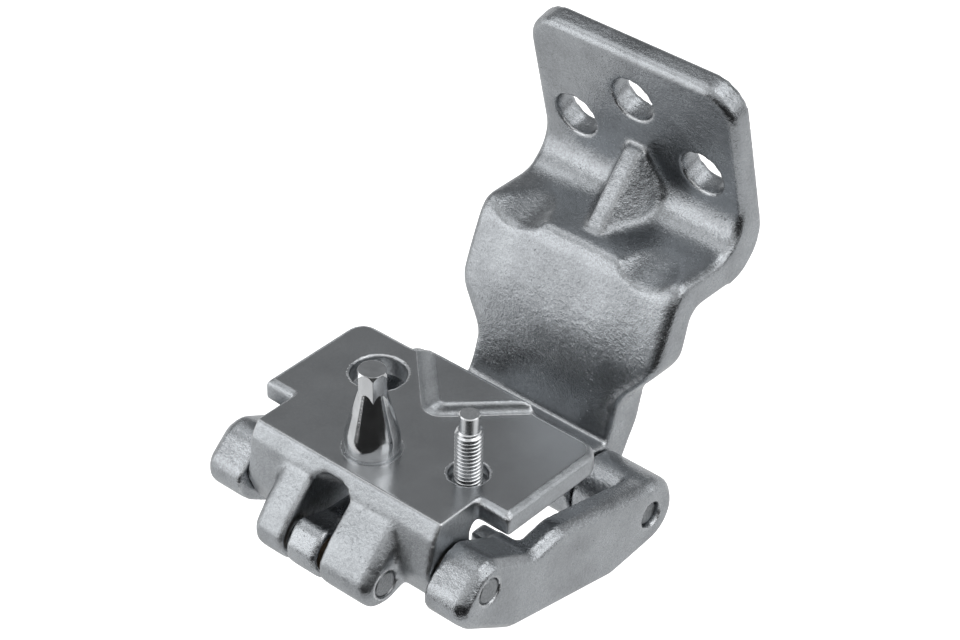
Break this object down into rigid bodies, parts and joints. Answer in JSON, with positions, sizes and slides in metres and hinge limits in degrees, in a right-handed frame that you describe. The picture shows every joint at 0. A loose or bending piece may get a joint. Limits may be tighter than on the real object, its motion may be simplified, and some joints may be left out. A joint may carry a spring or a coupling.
{
  "type": "car door hinge",
  "caption": "Four-bar car door hinge: a body plate with stud and centring pin carries a cranked door arm on cast outer links and an inner link.",
  "frame": {"origin": "on the plate's mounting face, in the mid-plane between the outer links, level with the stud", "axes": "+X along the hinge pins, +Y from the front beam back to the door arm, +Z out of the mounting face"},
  "size_m": [0.0966, 0.1508, 0.1299],
  "materials": {
    "plated_plate": "zinc-plated cast steel, smooth machined face",
    "plated_casting": "zinc-plated cast steel, grainy as-cast skin",
    "polished_pin": "turned and polished steel",
    "stud_steel": "bright zinc-plated thread",
    "pin_steel": "dull steel pin ends",
    "bush_bronze": "plain bronze bush"
  },
  "bodies": {
    "body_bracket": {"body_plate": "plated_plate", "centring_pin": "polished_pin", "threaded_stud": "stud_steel", "inner_front_pin": "pin_steel", "outer_front_bush_right": "bush_bronze", "outer_front_bush_left": "bush_bronze"},
    "outer_link": {"outer_link_right": "plated_casting", "outer_link_left": "plated_casting", "outer_front_pin_right": "pin_steel", "outer_front_pin_left": "pin_steel", "outer_rear_pin": "pin_steel"},
    "door_arm": {"door_arm": "plated_casting", "outer_rear_bush_right": "bush_bronze", "outer_rear_bush_left": "bush_bronze", "inner_rear_pin": "pin_steel"},
    "inner_link": {"inner_link": "plated_casting", "inner_front_bush": "bush_bronze", "inner_rear_bush": "bush_bronze"}
  },
  "joints": [
    {"name": "outer_link_swing", "type": "hinge", "parent": "body_bracket", "child": "outer_link", "pos_m": [0, -0.0177, -0.0174], "axis": [1, 0, 0], "range_deg": [-40.6, 0]},
    {"name": "door_swing", "type": "hinge", "parent": "outer_link", "child": "door_arm", "pos_m": [0, 0.0534, -0.0349], "axis": [1, 0, 0], "range_deg": [-29.4, 0]},
    {"name": "inner_link_swing", "type": "hinge", "parent": "body_bracket", "child": "inner_link", "pos_m": [0, -0.0298, -0.0225], "axis": [1, 0, 0], "range_deg": [-31.3, 0]}
  ],
  "couplings": [
    {"joint": "door_swing", "follows": "outer_link_swing", "ratio": 0.7217},
    {"joint": "inner_link_swing", "follows": "outer_link_swing", "ratio": 0.7698}
  ]
}
